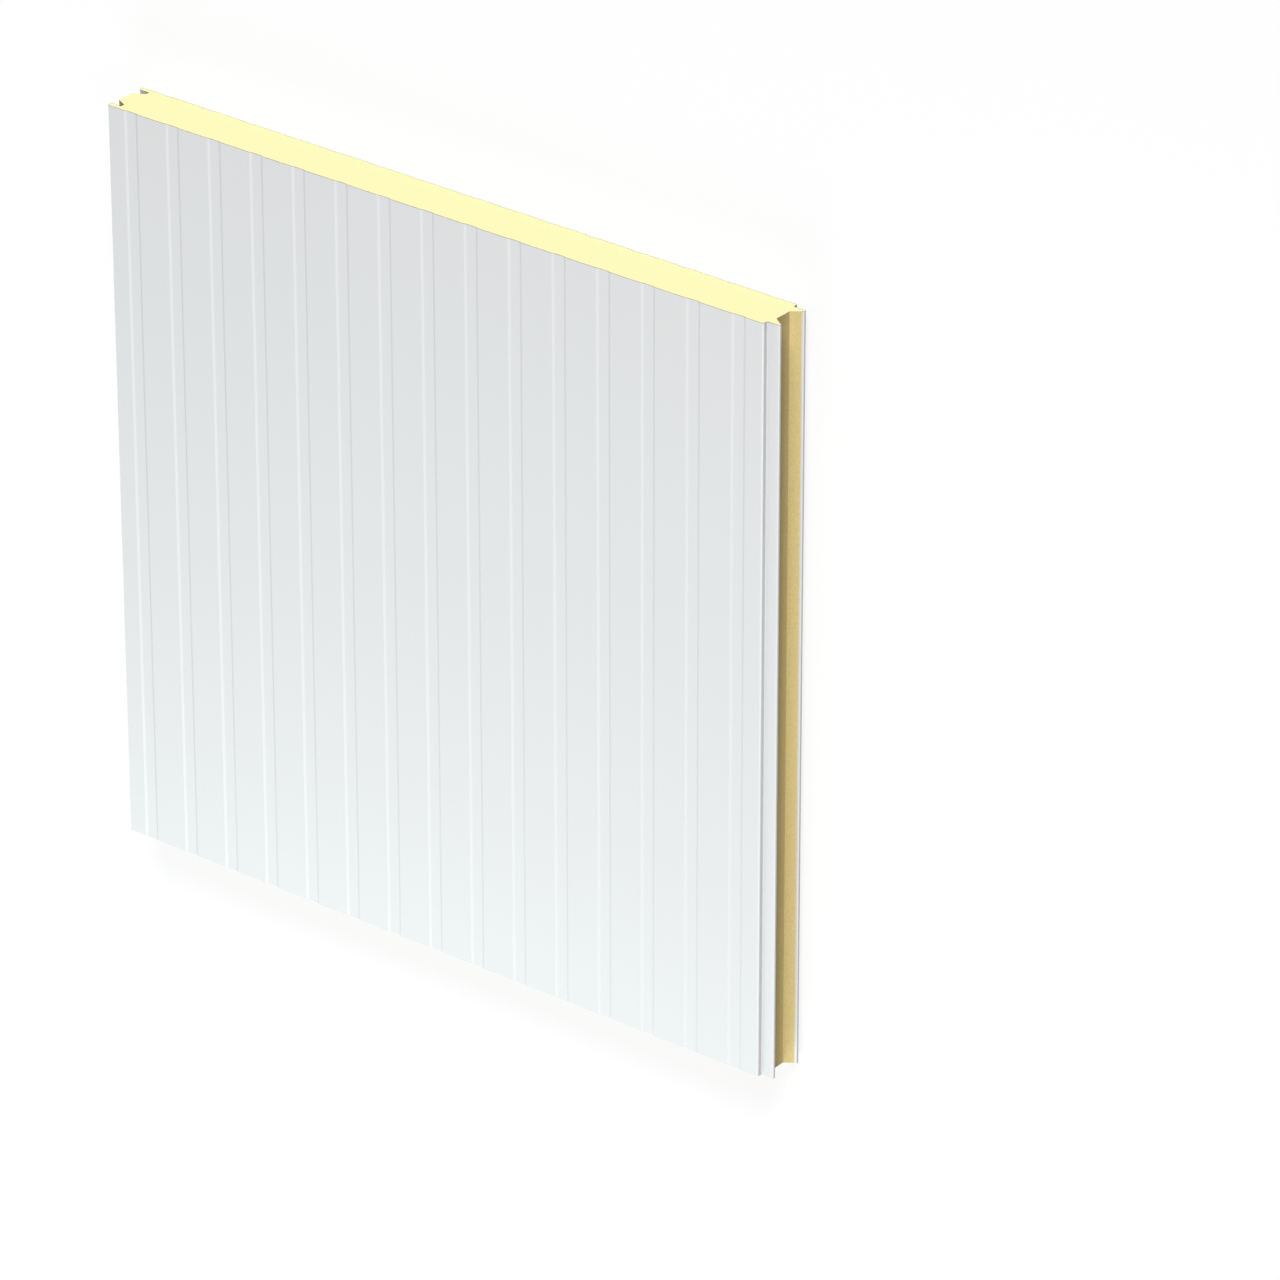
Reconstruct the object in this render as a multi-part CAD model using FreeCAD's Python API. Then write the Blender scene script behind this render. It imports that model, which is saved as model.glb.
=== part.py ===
"""Insulated wall panel: two roll-formed steel facings on a tongue-and-groove foam core.

The panel lies flat with its outer face up. X runs across the width from the tongue edge to the
groove edge, Y along the length, Z through the thickness. The origin is at the middle of the
underside. The section is worked out as (x, depth) pairs: x from the tongue edge, depth inwards
from the face that a facing covers, so one set of values gives both faces.
"""
import FreeCAD, Part
import math
import os

# Panel
COVER_WIDTH = 1150.0        # from one panel to the same place on the next one
PANEL_LENGTH = 1150.0       # along the grooves, between the sawn ends
PANEL_THICKNESS = 75.0      # over the lands of both facings
SHEET_GAUGE = 0.5           # coated steel sheet

# Shallow grooves rolled into both facings
GROOVE_PITCH = 75.9
GROOVE_DEPTH = 1.2
GROOVE_FLOOR = 16.5         # flat floor between the flanks
GROOVE_FLANK = 3.6          # width that one sloping flank takes up
GROOVE_BEND = 3.0           # inside radius of the four bends of a groove
FIRST_GROOVE = 42.0         # tongue edge to the middle of the first groove
LAST_GROOVE_MARGIN = 40.0   # least distance from the last groove's middle to the cover width

# Tongue edge: each facing is folded back round a foam-filled lip, with a slot beside the tongue
LIP_THICKNESS = 8.0         # over both skins of the folded lip
SLOT_WIDTH = 6.5            # at the slot's root, between lip and tongue
SLOT_DEPTH = 18.0           # from the lip's end to the slot's root
TONGUE_SETBACK = 0.5        # how far the tongue's tip stays behind the ends of the lips
TONGUE_TAPER = 9.0          # how far each flank of the tongue slants in, from root to tip
FOLD_BEND = 2.0             # inside radius of the two bends round the folded lip's end

# Groove edge: the facings step inwards to lips that go into the next panel's slots
JOINT_REVEAL = 4.0          # visible gap between the outer skins of two joined panels
STEP_BEND = 2.5             # inside radius of the bend from the face into the step
LIP_BEND = 1.5              # inside radius at the foot of the step and round the recessed lip's end
HEM_RETURN = 3.5            # length of sheet folded in behind the recessed lip's end

# Play in the joint between two panels
LIP_OUTER_PLAY = 0.3        # recessed lip to the inside of the covering lip
LIP_INNER_PLAY = 0.7        # recessed lip to the root of the tongue
LIP_END_PLAY = 1.5          # recessed lip's end to the slot's root
TONGUE_PLAY = 0.5           # tongue's tip to the bottom of the core's groove, and beside it

FOAM_CORNER = 1.0           # radius at the corners of tongue, slots and groove

# Worked out from the values above
LIP_RECESS = LIP_THICKNESS + LIP_OUTER_PLAY
TONGUE_ROOT = LIP_THICKNESS + SLOT_WIDTH
TONGUE_TIP = TONGUE_ROOT + TONGUE_TAPER
RECESSED_LIP_BACK = TONGUE_ROOT - LIP_INNER_PLAY
STEP_X = COVER_WIDTH - JOINT_REVEAL
OVERALL_WIDTH = COVER_WIDTH + SLOT_DEPTH - LIP_END_PLAY
HEM_END_X = OVERALL_WIDTH - HEM_RETURN
CORE_GROOVE_X = COVER_WIDTH + TONGUE_SETBACK - TONGUE_PLAY
CORE_GROOVE_DEPTH = TONGUE_TIP - TONGUE_PLAY
GROOVE_SPAN = COVER_WIDTH - FIRST_GROOVE - LAST_GROOVE_MARGIN
GROOVE_COUNT = int(GROOVE_SPAN // GROOVE_PITCH) + 1


def groove_corners(middle):
    """Corners of one shallow groove, as (x, depth, inside bend radius)."""
    floor = GROOVE_FLOOR / 2
    mouth = floor + GROOVE_FLANK
    return [
        (middle - mouth, 0.0, GROOVE_BEND),
        (middle - floor, GROOVE_DEPTH, GROOVE_BEND),
        (middle + floor, GROOVE_DEPTH, GROOVE_BEND),
        (middle + mouth, 0.0, GROOVE_BEND),
    ]


def facing_corners():
    """Weather side of a facing, from the slot's root over the face to the hem of the recessed lip."""
    corners = [
        (SLOT_DEPTH, LIP_THICKNESS, 0.0),
        (0.0, LIP_THICKNESS, FOLD_BEND),
        (0.0, 0.0, FOLD_BEND),
    ]
    for number in range(GROOVE_COUNT):
        corners += groove_corners(FIRST_GROOVE + number * GROOVE_PITCH)
    corners += [
        (STEP_X, 0.0, STEP_BEND),
        (STEP_X, LIP_RECESS, LIP_BEND),
        (OVERALL_WIDTH, LIP_RECESS, LIP_BEND),
        (OVERALL_WIDTH, RECESSED_LIP_BACK, LIP_BEND),
        (HEM_END_X, RECESSED_LIP_BACK, 0.0),
    ]
    return corners


def inward_normal(start, end):
    """Unit vector in (x, depth), square to a straight run and pointing to its foam side."""
    along_x = end[0] - start[0]
    along_depth = end[1] - start[1]
    length = math.hypot(along_x, along_depth)
    return (-along_depth / length, along_x / length)


def skin_corners(corners, inset):
    """Corners of the sheet's surface that lies inset below the weather side, with their radii.

    A bend's inside radius belongs to the surface on the inside of the bend, and the other
    surface has that radius plus the gauge.
    """
    normals = [inward_normal(start, end) for start, end in zip(corners, corners[1:])]
    first, last = corners[0], corners[-1]
    moved = [(first[0] + inset * normals[0][0], first[1] + inset * normals[0][1], 0.0)]
    for (x, depth, bend), before, after in zip(corners[1:-1], normals, normals[1:]):
        turns_inwards = before[0] * after[1] - before[1] * after[0] > 0
        reach = inset / (1 + before[0] * after[0] + before[1] * after[1])
        radius = bend + (SHEET_GAUGE - inset if turns_inwards else inset)
        moved.append((x + reach * (before[0] + after[0]), depth + reach * (before[1] + after[1]), radius))
    moved.append((last[0] + inset * normals[-1][0], last[1] + inset * normals[-1][1], 0.0))
    return moved


def outer_point(x, depth):
    """Place a section point that is measured from the outer face."""
    return FreeCAD.Vector(x - OVERALL_WIDTH / 2, -PANEL_LENGTH / 2, PANEL_THICKNESS - depth)


def inner_point(x, depth):
    """Place a section point that is measured from the inner face."""
    return FreeCAD.Vector(x - OVERALL_WIDTH / 2, -PANEL_LENGTH / 2, depth)


def rounded_run(corners):
    """Line and arc edges through (point, radius) corners. The first and last corner stay sharp."""
    edges = []
    start = corners[0][0]
    for (before, _), (corner, radius), (after, _) in zip(corners, corners[1:], corners[2:]):
        back = (before - corner).normalize()
        ahead = (after - corner).normalize()
        half_angle = back.getAngle(ahead) / 2
        setback = radius / math.tan(half_angle)
        crown = corner + (back + ahead).normalize() * (radius / math.sin(half_angle) - radius)
        arc_start = corner + back * setback
        arc_end = corner + ahead * setback
        edges.append(Part.LineSegment(start, arc_start).toShape())
        edges.append(Part.Arc(arc_start, crown, arc_end).toShape())
        start = arc_end
    edges.append(Part.LineSegment(start, corners[-1][0]).toShape())
    return edges


def skin_run(place, inset):
    """Edges of one surface of a facing: inset 0 is the weather side, the gauge the foam side."""
    return rounded_run([(place(x, depth), radius) for x, depth, radius in skin_corners(facing_corners(), inset)])


def extruded(edges):
    """Solid of the panel's length from the edges of a closed section."""
    wire = Part.Wire(Part.__sortEdges__(edges))
    return Part.Face(wire).extrude(FreeCAD.Vector(0, PANEL_LENGTH, 0))


def cut_edge(place, corner_index):
    """The sheet's own thickness at one end of its section."""
    corners = facing_corners()
    outside = skin_corners(corners, 0.0)[corner_index]
    inside = skin_corners(corners, SHEET_GAUGE)[corner_index]
    return Part.LineSegment(place(*outside[:2]), place(*inside[:2])).toShape()


def facing_sheet(place):
    """One roll-formed facing, both skins and the two cut edges."""
    outline = skin_run(place, 0.0) + skin_run(place, SHEET_GAUGE)
    outline += [cut_edge(place, 0), cut_edge(place, -1)]
    return extruded(outline)


def tongue_run():
    """Core's edge between the two folded lips: slot, tongue, slot."""
    lip_foam = LIP_THICKNESS - SHEET_GAUGE
    return rounded_run([
        (outer_point(SLOT_DEPTH, lip_foam), 0.0),
        (outer_point(SLOT_DEPTH, TONGUE_ROOT), FOAM_CORNER),
        (outer_point(TONGUE_SETBACK, TONGUE_TIP), FOAM_CORNER),
        (inner_point(TONGUE_SETBACK, TONGUE_TIP), FOAM_CORNER),
        (inner_point(SLOT_DEPTH, TONGUE_ROOT), FOAM_CORNER),
        (inner_point(SLOT_DEPTH, lip_foam), 0.0),
    ])


def groove_run():
    """Core's edge between the two hems: flank, bottom and flank of the groove for the next tongue."""
    return rounded_run([
        (outer_point(HEM_END_X, RECESSED_LIP_BACK), 0.0),
        (outer_point(CORE_GROOVE_X, CORE_GROOVE_DEPTH), FOAM_CORNER),
        (inner_point(CORE_GROOVE_X, CORE_GROOVE_DEPTH), FOAM_CORNER),
        (inner_point(HEM_END_X, RECESSED_LIP_BACK), 0.0),
    ])


def foam_core():
    """Foam that fills all the room between the facings, face to face with their foam sides."""
    outline = skin_run(outer_point, SHEET_GAUGE) + skin_run(inner_point, SHEET_GAUGE)
    outline += tongue_run() + groove_run()
    outline += [cut_edge(outer_point, -1), cut_edge(inner_point, -1)]
    return extruded(outline)


def main():
    os.makedirs("parts", exist_ok=True)
    solids = {
        "outer_facing_sheet": facing_sheet(outer_point),
        "inner_facing_sheet": facing_sheet(inner_point),
        "foam_core": foam_core(),
    }
    for node, solid in solids.items():
        solid.exportStep("parts/" + node + ".step")


main()
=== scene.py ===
"""Finish and studio for an insulated wall panel.

The panel lies flat with its outer face up: X from the tongue edge to the groove edge, Y along the
grooves, Z through the thickness. Everything is in metres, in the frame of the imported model.
"""
import math

import bpy
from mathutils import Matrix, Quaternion, Vector


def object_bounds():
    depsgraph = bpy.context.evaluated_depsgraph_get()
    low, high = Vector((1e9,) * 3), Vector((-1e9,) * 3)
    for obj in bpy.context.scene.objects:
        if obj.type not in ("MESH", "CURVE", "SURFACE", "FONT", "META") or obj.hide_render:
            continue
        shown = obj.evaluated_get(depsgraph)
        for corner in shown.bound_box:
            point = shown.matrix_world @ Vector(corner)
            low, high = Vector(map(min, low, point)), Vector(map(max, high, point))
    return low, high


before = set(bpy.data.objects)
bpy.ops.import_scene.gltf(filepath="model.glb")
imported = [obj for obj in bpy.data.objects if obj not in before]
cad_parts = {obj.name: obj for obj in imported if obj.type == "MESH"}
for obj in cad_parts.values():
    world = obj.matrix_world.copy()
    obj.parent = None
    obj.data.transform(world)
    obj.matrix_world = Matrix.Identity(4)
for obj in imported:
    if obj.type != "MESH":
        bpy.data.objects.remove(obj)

bl_info = {
    "name": "Insulated panel finish",
    "version": (1, 0, 0),
    "blender": (4, 5, 0),
    "location": "3D View > Sidebar > Insulated panel",
    "description": "Coated steel, rigid foam and a plain studio for a sandwich wall panel",
    "category": "Material",
}

CAD_LOW, CAD_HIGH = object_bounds()
FACING_NODES = ("outer_facing_sheet", "inner_facing_sheet")
CORE_NODE = "foam_core"
BLACK = (0.0, 0.0, 0.0, 1.0)
WHITE = (1.0, 1.0, 1.0, 1.0)

# Places on the panel, in metres
MIDDLE = (CAD_LOW + CAD_HIGH) / 2
HALF_THICKNESS = CAD_HIGH.z / 2
STEP_X = CAD_HIGH.x - 0.0205    # where the facings step in to the recessed lips
SLOT_DEPTH = 0.018              # of the slots beside the tongue
SLOT_LEVEL = 0.006              # the slots lie further below the faces than this
LIP_BEND = 0.0015               # room that a lip's bend takes up

# Soft boxes: name, setting that holds the power, width and height, offset from the panel's middle, colour.
# The strips lie below the level of the outer face, so they light the edges and not the face.
SOFT_BOXES = (
    ("fill_lamp", "fill_power", (1.5, 1.5), (-0.18, -2.6, 1.45), (0.87, 1.0, 1.0)),
    ("side_lamp", "side_power", (1.0, 1.0), (1.9, 0.3, 1.6), (1.0, 1.0, 1.0)),
    ("tongue_strip", "tongue_strip_power", (1.4, 0.06), (-1.1, -0.15, 0.0), (1.0, 1.0, 1.0)),
    ("end_strip", "end_strip_power", (1.8, 0.06), (0.0, -1.5, 0.0), (1.0, 0.85, 0.7)),
)


# ---------------------------------------------------------------- shader expressions

class Signal:
    """An output socket of a material. Arithmetic on signals adds Math nodes to its tree."""

    def __init__(self, tree, socket):
        self.tree = tree
        self.socket = socket

    def math(self, operation, *terms):
        return add_node(self.tree, "ShaderNodeMath", {"operation": operation}, dict(enumerate(terms)))

    def __add__(self, other):
        return self.math("ADD", self, other)

    __radd__ = __add__

    def __sub__(self, other):
        return self.math("SUBTRACT", self, other)

    def __rsub__(self, other):
        return self.math("SUBTRACT", other, self)

    def __mul__(self, other):
        return self.math("MULTIPLY", self, other)

    __rmul__ = __mul__

    def __truediv__(self, other):
        return self.math("DIVIDE", self, other)

    def __rtruediv__(self, other):
        return self.math("DIVIDE", other, self)

    def __abs__(self):
        return self.math("ABSOLUTE", self)

    def __gt__(self, limit):
        return self.math("GREATER_THAN", self, limit)

    def clamped(self):
        """The same value, held between 0 and 1."""
        return self.math("MAXIMUM", self.math("MINIMUM", self, 1.0), 0.0)


def add_node(tree, kind, settings=None, inputs=None, output=0):
    """Add a node, set it up, then fill its sockets with values or links. Gives the asked output."""
    node = tree.nodes.new(kind)
    for name, value in (settings or {}).items():
        setattr(node, name, value)
    for name, value in (inputs or {}).items():
        socket = node.inputs[name]
        if isinstance(value, Signal):
            tree.links.new(value.socket, socket)
        else:
            socket.default_value = value
    return None if output is None else Signal(tree, node.outputs[output])


def new_material(name):
    """An empty node material and its tree."""
    material = bpy.data.materials.new(name)
    material.use_nodes = True
    material.node_tree.nodes.clear()
    return material, material.node_tree


def surface_of(tree, shader):
    """Link a shader to the material's output."""
    add_node(tree, "ShaderNodeOutputMaterial", None, {"Surface": shader}, None)


def place(tree):
    """Position on the object, in metres."""
    return add_node(tree, "ShaderNodeTexCoord", output="Object")


def stretched(tree, vector, scale):
    """A position scaled by a different factor along each axis."""
    return add_node(tree, "ShaderNodeVectorMath", {"operation": "MULTIPLY"}, {0: vector, 1: scale})


def noise(tree, vector, size, detail=2.0):
    """Soft noise between 0 and 1, with features of about the given size in metres."""
    return add_node(tree, "ShaderNodeTexNoise", None, {
        "Vector": vector, "Scale": 1.0 / size, "Detail": detail, "Roughness": 0.5})


def cells(tree, vector, size):
    """Distance from the middle of rounded cells of about the given size in metres."""
    return add_node(tree, "ShaderNodeTexVoronoi", {"feature": "F1"}, {
        "Vector": vector, "Scale": 1.0 / size}, "Distance")


def mixed(tree, share, first, second):
    """A blend of two colours. Share 0 gives the first and 1 the second."""
    return add_node(tree, "ShaderNodeMix", {"data_type": "RGBA"}, {0: share, 6: first, 7: second}, 2)


def bumped(tree, height):
    """A normal from a height in metres."""
    return add_node(tree, "ShaderNodeBump", None, {
        "Strength": 1.0, "Distance": 1.0, "Height": height}, "Normal")


def axis_of(tree, vector, axis):
    """One coordinate of a vector."""
    return add_node(tree, "ShaderNodeSeparateXYZ", None, {0: vector}, axis)


def facing_along(tree, axis):
    """How squarely the true surface faces along X, Y or Z, from 0 to 1, on either side."""
    normal = add_node(tree, "ShaderNodeNewGeometry", output="True Normal")
    return abs(axis_of(tree, normal, axis))


def off_face(tree, position):
    """Distance below the nearer of the two faces."""
    return HALF_THICKNESS - abs(axis_of(tree, position, "Z") - HALF_THICKNESS)


def painted_step_shade(tree, position, reach):
    """Painted shade in the joint's step: 1 on the step itself, less on the recessed lips, where it fades
    out.

    This painted shade starts a little way below the face, and is stronger on the inner facing's lip, near
    the floor.
    """
    lead, start, fade = 0.004, 0.001, 0.002
    onset, lip_share, floor_gain = 0.0025, 0.47, 1.8
    away = axis_of(tree, position, "X") - STEP_X
    on_lip = (away / onset).clamped() * (1 - away / reach).clamped()
    step_shade = (1 - away / LIP_BEND).clamped() + lip_share * on_lip
    below_face = ((off_face(tree, position) - start) / fade).clamped()
    near_floor = HALF_THICKNESS - axis_of(tree, position, "Z") > 0
    return step_shade * below_face * (away > -lead) * (1 + floor_gain * near_floor)


def painted_slot_shade(tree, position):
    """Share of painted shade in the slots beside the tongue: half at their mouths, 1 at their roots and 0
    outside them.
    """
    mouth = 0.5
    depth = axis_of(tree, position, "X") - CAD_LOW.x
    past_bend = depth > LIP_BEND
    before_root = SLOT_DEPTH + LIP_BEND - depth > 0
    inside = past_bend * before_root * (off_face(tree, position) > SLOT_LEVEL)
    return inside * (mouth + (1 - mouth) * (depth / SLOT_DEPTH).clamped())


def painted_groove_shade(tree, position):
    """Share of painted shade at the bottom of the core's groove: 1 next to the outer lip, and less towards
    the inner one.
    """
    lowest, height, least = 0.0225, 0.03, 0.36
    rise = (axis_of(tree, position, "Z") - lowest) / height
    bottom = (facing_along(tree, "X") > 0.95) * (axis_of(tree, position, "X") > 0)
    return bottom * (least + (1 - least) * rise.clamped())


def painted_bend_highlight(tree):
    """Painted highlight, partly the coat's paler stress-whitening: 1 on the sheet's bends round a square
    corner, 0 on its flats and on the grooves' gentle flanks.
    """
    least, most, fade = 0.33, 0.97, 0.2
    lean = abs(axis_of(tree, add_node(tree, "ShaderNodeNewGeometry", output="Normal"), "X"))
    return ((lean - least) / fade).clamped() * ((most - lean) / fade).clamped()


# ---------------------------------------------------------------- settings

class PanelFacingSettings(bpy.types.PropertyGroup):
    """Coated steel of both facings."""

    coat_colour: bpy.props.FloatVectorProperty(
        name="Coat colour", description="Polyester coat on the steel", subtype="COLOR",
        size=4, min=0.0, max=1.0, default=(0.827, 0.826, 0.830, 1.0))
    coat_shade: bpy.props.FloatVectorProperty(
        name="Coat shade", description="Slightly deeper tone the coat drifts to", subtype="COLOR",
        size=4, min=0.0, max=1.0, default=(0.816, 0.815, 0.819, 1.0))
    # Painted shade: darkens the coat in the joint's step and on the recessed lip beside it.
    painted_step_shade_amount: bpy.props.FloatProperty(
        name="Recess shade", description="How much deeper the coat's tone gets in the joint's step",
        subtype="FACTOR", min=0.0, max=1.0, default=0.24)
    # How far that painted shade runs out over the recessed lip.
    painted_step_shade_reach: bpy.props.FloatProperty(
        name="Recess reach", description="How far that deeper tone runs out over the recessed lip",
        subtype="DISTANCE", unit="LENGTH", min=0.001, default=0.02)
    # Painted shade in the slots beside the tongue.
    painted_slot_shade_amount: bpy.props.FloatProperty(
        name="Slot shade", description="How much deeper the coat's tone is in the slots beside the tongue",
        subtype="FACTOR", min=0.0, max=1.0, default=0.58)
    # Painted highlight on the hard bends, partly the coat's paler stress-whitening there.
    bend_highlight_colour: bpy.props.FloatVectorProperty(
        name="Bend colour", description="Paler tone that the coat takes where the sheet is bent hard",
        subtype="COLOR", size=4, min=0.0, max=1.0, default=(0.95, 0.948, 0.95, 1.0))
    zinc_colour: bpy.props.FloatVectorProperty(
        name="Cut edge colour", description="Bare steel and zinc where the sheet is cut", subtype="COLOR",
        size=4, min=0.0, max=1.0, default=(0.07, 0.073, 0.085, 1.0))
    burr_width: bpy.props.FloatProperty(
        name="Burr width", description="Bare steel that the saw left along the edge of the top end",
        subtype="DISTANCE", unit="LENGTH", min=0.0, default=0.00025)
    coat_roughness: bpy.props.FloatProperty(
        name="Coat roughness", description="Satin sheen of the coat",
        subtype="FACTOR", min=0.0, max=1.0, default=0.7)
    coat_gloss: bpy.props.FloatProperty(
        name="Coat gloss", description="Strength of the coat's reflections",
        subtype="FACTOR", min=0.0, max=1.0, default=0.375)
    grain_size: bpy.props.FloatProperty(
        name="Grain size", description="Width of the coat's fine grain", subtype="DISTANCE",
        unit="LENGTH", min=0.0001, default=0.0012)
    grain_height: bpy.props.FloatProperty(
        name="Grain height", description="Height of the coat's fine grain", subtype="DISTANCE",
        unit="LENGTH", min=0.0, default=0.000006)


class PanelCoreSettings(bpy.types.PropertyGroup):
    """Rigid foam of the core."""

    sawn_colour: bpy.props.FloatVectorProperty(
        name="Sawn colour", description="Fresh foam on the sawn ends", subtype="COLOR",
        size=4, min=0.0, max=1.0, default=(0.865, 0.792, 0.430, 1.0))
    skin_colour: bpy.props.FloatVectorProperty(
        name="Skin colour", description="Moulded foam skin on the long edges", subtype="COLOR",
        size=4, min=0.0, max=1.0, default=(0.848, 0.682, 0.303, 1.0))
    pore_colour: bpy.props.FloatVectorProperty(
        name="Pore colour", description="Deeper tone between the fine pores of the skin", subtype="COLOR",
        size=4, min=0.0, max=1.0, default=(0.70, 0.563, 0.25, 1.0))
    pore_size: bpy.props.FloatProperty(
        name="Pore size", description="Width of the skin's fine mottling", subtype="DISTANCE",
        unit="LENGTH", min=0.0001, default=0.0022)
    # Painted shade at the bottom of the core's groove, deepest under the outer lip.
    painted_groove_shade_amount: bpy.props.FloatProperty(
        name="Deep shade",
        description="How much deeper the skin's tone is at the bottom of the core's groove",
        subtype="FACTOR", min=0.0, max=1.0, default=0.36)
    # Painted shade towards the roots of the slots beside the tongue.
    painted_slot_shade_amount: bpy.props.FloatProperty(
        name="Slot shade", description="How much deeper the skin's tone is at the roots of the slots",
        subtype="FACTOR", min=0.0, max=1.0, default=0.8)
    cell_size: bpy.props.FloatProperty(
        name="Cell size", description="Width of an open foam cell on the sawn ends", subtype="DISTANCE",
        unit="LENGTH", min=0.0001, default=0.0009)


class PanelStudioSettings(bpy.types.PropertyGroup):
    """Camera, lamps and floor."""

    azimuth: bpy.props.FloatProperty(
        name="Azimuth", description="Camera's bearing round the panel, 0 looks along +Y",
        subtype="ANGLE", unit="ROTATION", default=math.radians(130.345))
    elevation: bpy.props.FloatProperty(
        name="Elevation", description="Camera's height above the horizon",
        subtype="ANGLE", unit="ROTATION", default=math.radians(44.272))
    roll: bpy.props.FloatProperty(
        name="Roll", description="Turn of the camera about its own line of sight",
        subtype="ANGLE", unit="ROTATION", default=math.radians(-120.651))
    distance: bpy.props.FloatProperty(
        name="Distance", description="From the camera to the outer face", subtype="DISTANCE",
        unit="LENGTH", default=11.567)
    aim_x: bpy.props.FloatProperty(
        name="Aim across",
        description="Middle of the picture, from the panel's middle towards the groove edge",
        subtype="DISTANCE", unit="LENGTH", default=0.3565)
    aim_y: bpy.props.FloatProperty(
        name="Aim along",
        description="Middle of the picture, from the panel's middle towards its top end",
        subtype="DISTANCE", unit="LENGTH", default=0.0384)
    lens: bpy.props.FloatProperty(
        name="Lens", description="Focal length on a 36 mm sensor, in millimetres",
        unit="CAMERA", default=239.35)
    key_strength: bpy.props.FloatProperty(
        name="Key light", description="Light of the soft key lamp on a surface square to it", default=1.233)
    key_azimuth: bpy.props.FloatProperty(
        name="Key azimuth", description="Bearing of the key lamp from the panel, 0 is +Y and 90 is +X",
        subtype="ANGLE", unit="ROTATION", default=math.radians(15.2))
    key_elevation: bpy.props.FloatProperty(
        name="Key elevation", description="Height of the key lamp above the horizon",
        subtype="ANGLE", unit="ROTATION", default=math.radians(26.5))
    fill_power: bpy.props.FloatProperty(
        name="Fill lamp", description="Power of the lamp beyond the bottom end, in watts",
        unit="POWER", default=44.6)
    sky_strength: bpy.props.FloatProperty(
        name="Sky light", description="Light from all round", default=0.14)
    side_power: bpy.props.FloatProperty(
        name="Side lamp", description="Power of the lamp beside the groove edge, in watts",
        unit="POWER", default=5.05)
    tongue_strip_power: bpy.props.FloatProperty(
        name="Tongue strip", description="Power of the low strip beside the tongue edge, in watts",
        unit="POWER", default=3.0)
    end_strip_power: bpy.props.FloatProperty(
        name="End strip", description="Power of the low strip beyond the bottom end, in watts",
        unit="POWER", default=6.3)


# ---------------------------------------------------------------- materials

def facing_material(settings):
    """Satin polyester coat with a fine grain, bare zinc and steel where the sheet is cut across.

    The coat is speckled on the surfaces that lie below the faces.
    """
    drift_size, patch_size = 0.35, 0.05
    speckle_contrast, speckle_depth = 10.0, 0.003
    patch_contrast, cut_roughness, cut_metal = 0.06, 0.08, 0.5
    material, tree = new_material("coated_steel_sheet")
    position = place(tree)
    burr = axis_of(tree, position, "Y") > CAD_HIGH.y - settings.burr_width
    cut = ((facing_along(tree, "Y") > 0.5) + burr).clamped()
    drift = noise(tree, stretched(tree, position, (1.0, 0.25, 1.0)), drift_size)
    grain = noise(tree, position, settings.grain_size)
    specks = noise(tree, position, 2 * settings.grain_size)
    below_face = (off_face(tree, position) / speckle_depth).clamped()
    speckle = speckle_contrast * (specks - 0.5) * below_face
    coat = mixed(tree, drift + speckle, tuple(settings.coat_colour), tuple(settings.coat_shade))
    # Painted highlight on the hard bends, partly the coat's paler stress-whitening there.
    coat = mixed(tree, painted_bend_highlight(tree), coat, tuple(settings.bend_highlight_colour))
    # Painted shade in the joint's step, stronger on the inner lip near the floor.
    painted_shade = settings.painted_step_shade_amount * painted_step_shade(tree, position, settings.painted_step_shade_reach)
    # Painted shade in the slots beside the tongue.
    painted_shade += settings.painted_slot_shade_amount * painted_slot_shade(tree, position)
    coat = mixed(tree, painted_shade, coat, BLACK)
    colour = mixed(tree, cut, coat, tuple(settings.zinc_colour))
    patchy = noise(tree, position, patch_size, 3.0)
    roughness = settings.coat_roughness + patch_contrast * (patchy - 0.5) + cut_roughness * cut
    surface_of(tree, add_node(tree, "ShaderNodeBsdfPrincipled", None, {
        "Base Color": colour,
        "Roughness": roughness,
        "Specular IOR Level": settings.coat_gloss,
        "Metallic": cut_metal * cut,
        "Normal": bumped(tree, grain * settings.grain_height),
    }))
    return material


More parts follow.
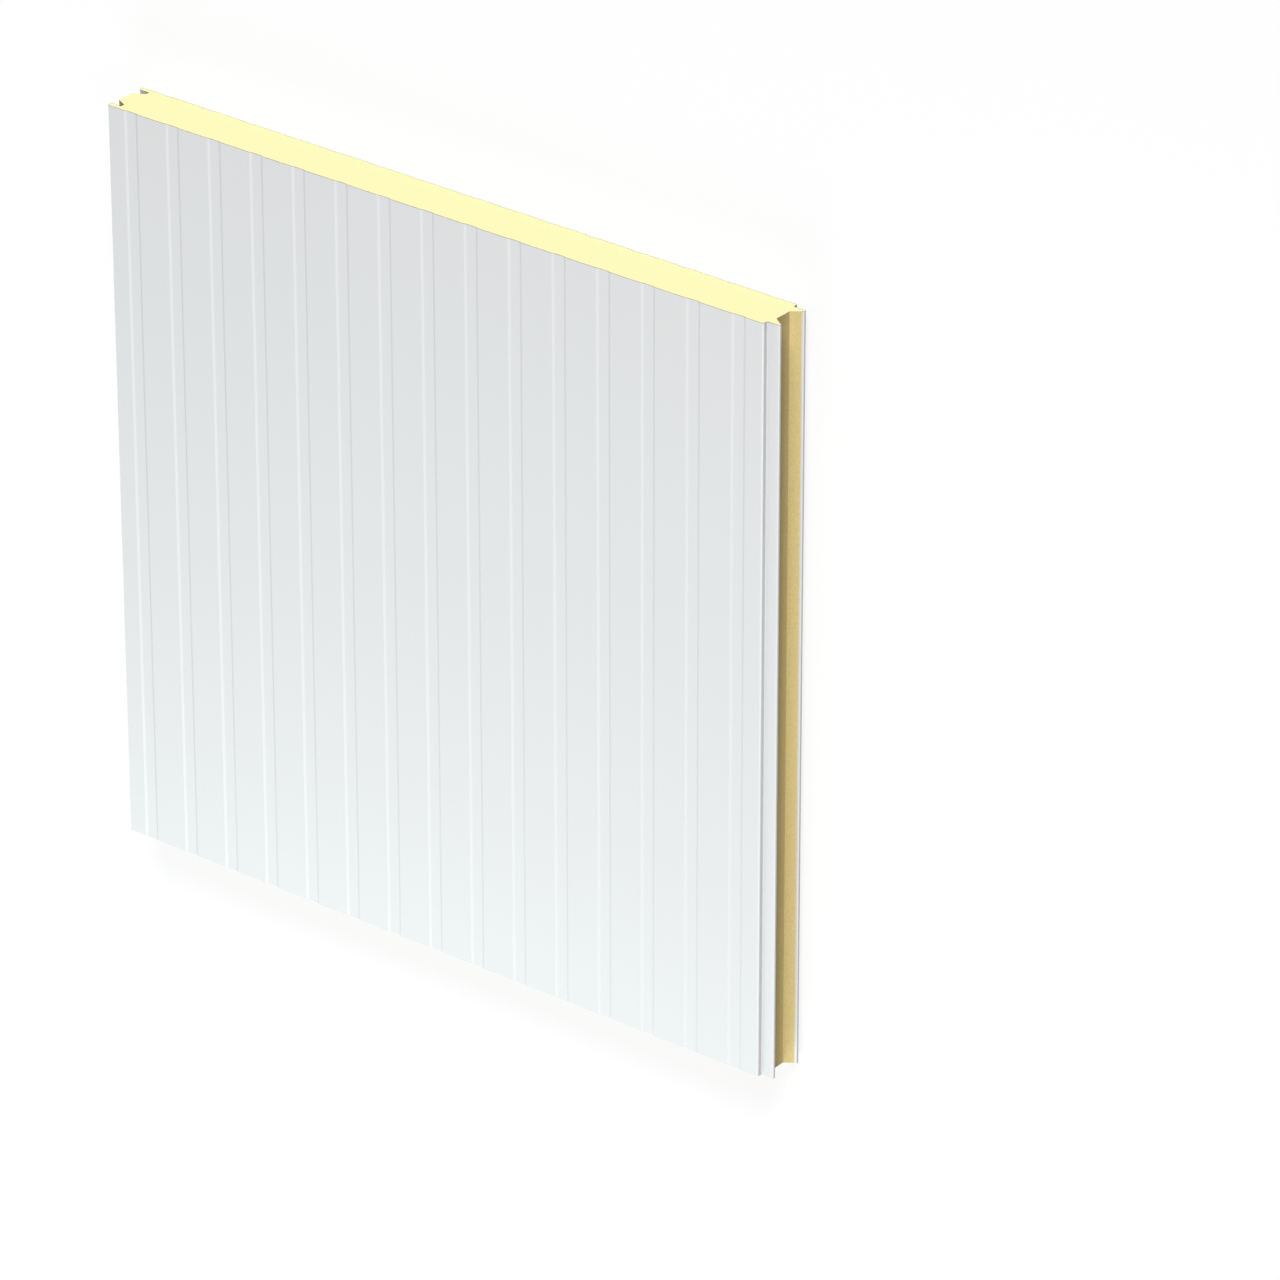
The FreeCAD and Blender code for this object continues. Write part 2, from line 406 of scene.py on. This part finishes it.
def core_material(settings):
    """Rigid foam: open cells and faint saw lines on the ends, finely mottled skin on the moulded edges."""
    mottle_size, flow_size, saw_line_size = 0.012, 0.02, 0.0012
    cell_height, saw_line_height, flow_height, pore_height = 0.00012, 0.00003, 0.00006, 0.00004
    tone_share = 0.10
    sawn_colour, skin_colour = tuple(settings.sawn_colour), tuple(settings.skin_colour)
    material, tree = new_material("rigid_foam")
    position = place(tree)
    sawn = facing_along(tree, "Y") > 0.5
    cell = cells(tree, position, settings.cell_size)
    mottle = noise(tree, position, mottle_size, 3.0)
    flow = noise(tree, stretched(tree, position, (1.0, 0.2, 1.0)), flow_size, 3.0)
    pores = noise(tree, position, settings.pore_size)
    sawn_tone = mixed(tree, tone_share * mottle, sawn_colour, skin_colour)
    skin_share = (2.0 * pores - 0.5).clamped()
    skin_tone = mixed(tree, skin_share, tuple(settings.pore_colour), skin_colour)
    skin_tone = mixed(tree, tone_share * flow, skin_tone, sawn_colour)
    # Painted shade at the bottom of the core's groove, deepest under the outer lip.
    painted_shade = settings.painted_groove_shade_amount * painted_groove_shade(tree, position)
    # Painted shade in the slots beside the tongue.
    painted_shade += settings.painted_slot_shade_amount * painted_slot_shade(tree, position)
    skin_tone = mixed(tree, painted_shade, skin_tone, BLACK)
    colour = mixed(tree, sawn, skin_tone, sawn_tone)
    saw_lines = noise(tree, stretched(tree, position, (0.04, 1.0, 1.0)), saw_line_size)
    sawn_relief = cell_height * cell + saw_line_height * saw_lines
    skin_relief = flow_height * flow + pore_height * pores
    relief = sawn * sawn_relief + (1 - sawn) * skin_relief
    surface_of(tree, add_node(tree, "ShaderNodeBsdfPrincipled", None, {
        "Base Color": colour,
        "Roughness": 0.86 + 0.08 * mottle,
        "Specular IOR Level": 0.25,
        "Normal": bumped(tree, relief),
    }))
    return material


def dress(node_name, material):
    """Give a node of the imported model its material."""
    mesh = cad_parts[node_name].data
    mesh.materials.clear()
    mesh.materials.append(material)


# ---------------------------------------------------------------- studio

def seen_directly(tree):
    """1 for what the camera, a reflection or clear glass shows, 0 for the light that a surface gathers."""
    camera = add_node(tree, "ShaderNodeLightPath", output="Is Camera Ray")
    glossy = add_node(tree, "ShaderNodeLightPath", output="Is Glossy Ray")
    through = add_node(tree, "ShaderNodeLightPath", output="Is Transmission Ray")
    return (camera + glossy + through).clamped()


def make_world(settings):
    """White all round to the eye, at the level of the sky light for what it lights."""
    world = bpy.data.worlds.new("studio_sky")
    bpy.context.scene.world = world
    world.use_nodes = True
    tree = world.node_tree
    tree.nodes.clear()
    seen = seen_directly(tree)
    strength = seen + (1 - seen) * settings.sky_strength
    background = add_node(tree, "ShaderNodeBackground", None, {
        "Color": WHITE, "Strength": strength})
    add_node(tree, "ShaderNodeOutputWorld", None, {"Surface": background}, None)


def make_floor():
    """A pale floor that keeps the panel's shadow and looks white where it is lit."""
    half, gap = 40.0, 0.0002
    grey, lift = (0.2, 0.2, 0.2, 1.0), 0.82
    mesh = bpy.data.meshes.new("studio_floor")
    corners = [(-half, -half, -gap), (half, -half, -gap), (half, half, -gap), (-half, half, -gap)]
    mesh.from_pydata(corners, [], [(0, 1, 2, 3)])
    floor = bpy.data.objects.new("studio_floor", mesh)
    bpy.context.scene.collection.objects.link(floor)
    material, tree = new_material("studio_floor")
    paint = add_node(tree, "ShaderNodeBsdfDiffuse", None, {"Color": grey})
    glow = add_node(tree, "ShaderNodeEmission", None, {
        "Color": WHITE, "Strength": lift * seen_directly(tree)})
    surface_of(tree, add_node(tree, "ShaderNodeAddShader", None, {0: paint, 1: glow}))
    mesh.materials.append(material)


def hang_lamp(lamp, towards, location=(0.0, 0.0, 0.0)):
    """Put a lamp up so that it shines against the given direction, out of sight of the camera."""
    holder = bpy.data.objects.new(lamp.name, lamp)
    holder.location = location
    holder.rotation_mode = "QUATERNION"
    holder.rotation_quaternion = towards.to_track_quat("Z", "Y")
    holder.visible_camera = False
    bpy.context.scene.collection.objects.link(holder)


def make_key_lamp(settings):
    """A broad soft sun, low over the panel's top end."""
    lamp = bpy.data.lights.new("key_lamp", "SUN")
    lamp.energy = math.pi * settings.key_strength
    lamp.angle = math.radians(30.0)
    flat = math.cos(settings.key_elevation)
    hang_lamp(lamp, Vector((
        math.sin(settings.key_azimuth) * flat,
        math.cos(settings.key_azimuth) * flat,
        math.sin(settings.key_elevation))))


def make_soft_box(name, power, size, offset, colour):
    """A soft box, given its width and height, at an offset from the panel's middle and turned towards it."""
    lamp = bpy.data.lights.new(name, "AREA")
    lamp.energy = power
    lamp.shape = "RECTANGLE"
    lamp.size, lamp.size_y = size
    lamp.color = colour
    hang_lamp(lamp, Vector(offset), MIDDLE + Vector(offset))


def make_camera(settings):
    """A long lens that looks down on the outer face."""
    flat = math.cos(settings.elevation)
    back = Vector((
        math.sin(settings.azimuth) * flat,
        -math.cos(settings.azimuth) * flat,
        math.sin(settings.elevation)))
    aim = Vector((MIDDLE.x + settings.aim_x, MIDDLE.y + settings.aim_y, CAD_HIGH.z))
    data = bpy.data.cameras.new("studio_camera")
    data.sensor_width = 36.0
    data.lens = settings.lens
    data.clip_end = 200.0
    camera = bpy.data.objects.new("studio_camera", data)
    camera.rotation_mode = "QUATERNION"
    camera.location = aim + back * settings.distance
    upright = (-back).to_track_quat("-Z", "Y")
    camera.rotation_quaternion = upright @ Quaternion((0.0, 0.0, 1.0), settings.roll)
    bpy.context.scene.collection.objects.link(camera)
    bpy.context.scene.camera = camera


# ---------------------------------------------------------------- operators

class PANEL_OT_finish_facings(bpy.types.Operator):
    """Coat both steel facings"""

    bl_idname = "insulated_panel.finish_facings"
    bl_label = "Coat the facings"

    def execute(self, context):
        material = facing_material(context.scene.panel_facing)
        for name in FACING_NODES:
            dress(name, material)
        return {"FINISHED"}


class PANEL_OT_finish_core(bpy.types.Operator):
    """Give the foam core its sawn ends and moulded edges"""

    bl_idname = "insulated_panel.finish_core"
    bl_label = "Finish the core"

    def execute(self, context):
        dress(CORE_NODE, core_material(context.scene.panel_core))
        return {"FINISHED"}


class PANEL_OT_set_studio(bpy.types.Operator):
    """Put up the camera, the floor and the lamps"""

    bl_idname = "insulated_panel.set_studio"
    bl_label = "Set the studio"

    def execute(self, context):
        settings = context.scene.panel_studio
        context.scene.view_settings.view_transform = "Standard"
        make_world(settings)
        make_floor()
        make_key_lamp(settings)
        for name, power, size, offset, colour in SOFT_BOXES:
            make_soft_box(name, getattr(settings, power), size, offset, colour)
        make_camera(settings)
        return {"FINISHED"}


class VIEW3D_PT_insulated_panel(bpy.types.Panel):
    """Settings and steps for the insulated panel"""

    bl_label = "Insulated panel"
    bl_space_type = "VIEW_3D"
    bl_region_type = "UI"
    bl_category = "Insulated panel"

    def draw(self, context):
        for name, group, operator in STEPS:
            box = self.layout.box()
            settings = getattr(context.scene, name)
            for setting in group.__annotations__:
                box.prop(settings, setting)
            box.operator(operator.bl_idname)


# Scene property, its settings and the operator that uses them
STEPS = (
    ("panel_facing", PanelFacingSettings, PANEL_OT_finish_facings),
    ("panel_core", PanelCoreSettings, PANEL_OT_finish_core),
    ("panel_studio", PanelStudioSettings, PANEL_OT_set_studio),
)


def register():
    for name, group, operator in STEPS:
        bpy.utils.register_class(group)
        bpy.utils.register_class(operator)
        setattr(bpy.types.Scene, name, bpy.props.PointerProperty(type=group))
    bpy.utils.register_class(VIEW3D_PT_insulated_panel)


def unregister():
    bpy.utils.unregister_class(VIEW3D_PT_insulated_panel)
    for name, group, operator in reversed(STEPS):
        delattr(bpy.types.Scene, name)
        bpy.utils.unregister_class(operator)
        bpy.utils.unregister_class(group)


def main():
    register()
    bpy.ops.insulated_panel.finish_facings()
    bpy.ops.insulated_panel.finish_core()
    bpy.ops.insulated_panel.set_studio()


if __name__ == "__main__":
    main()
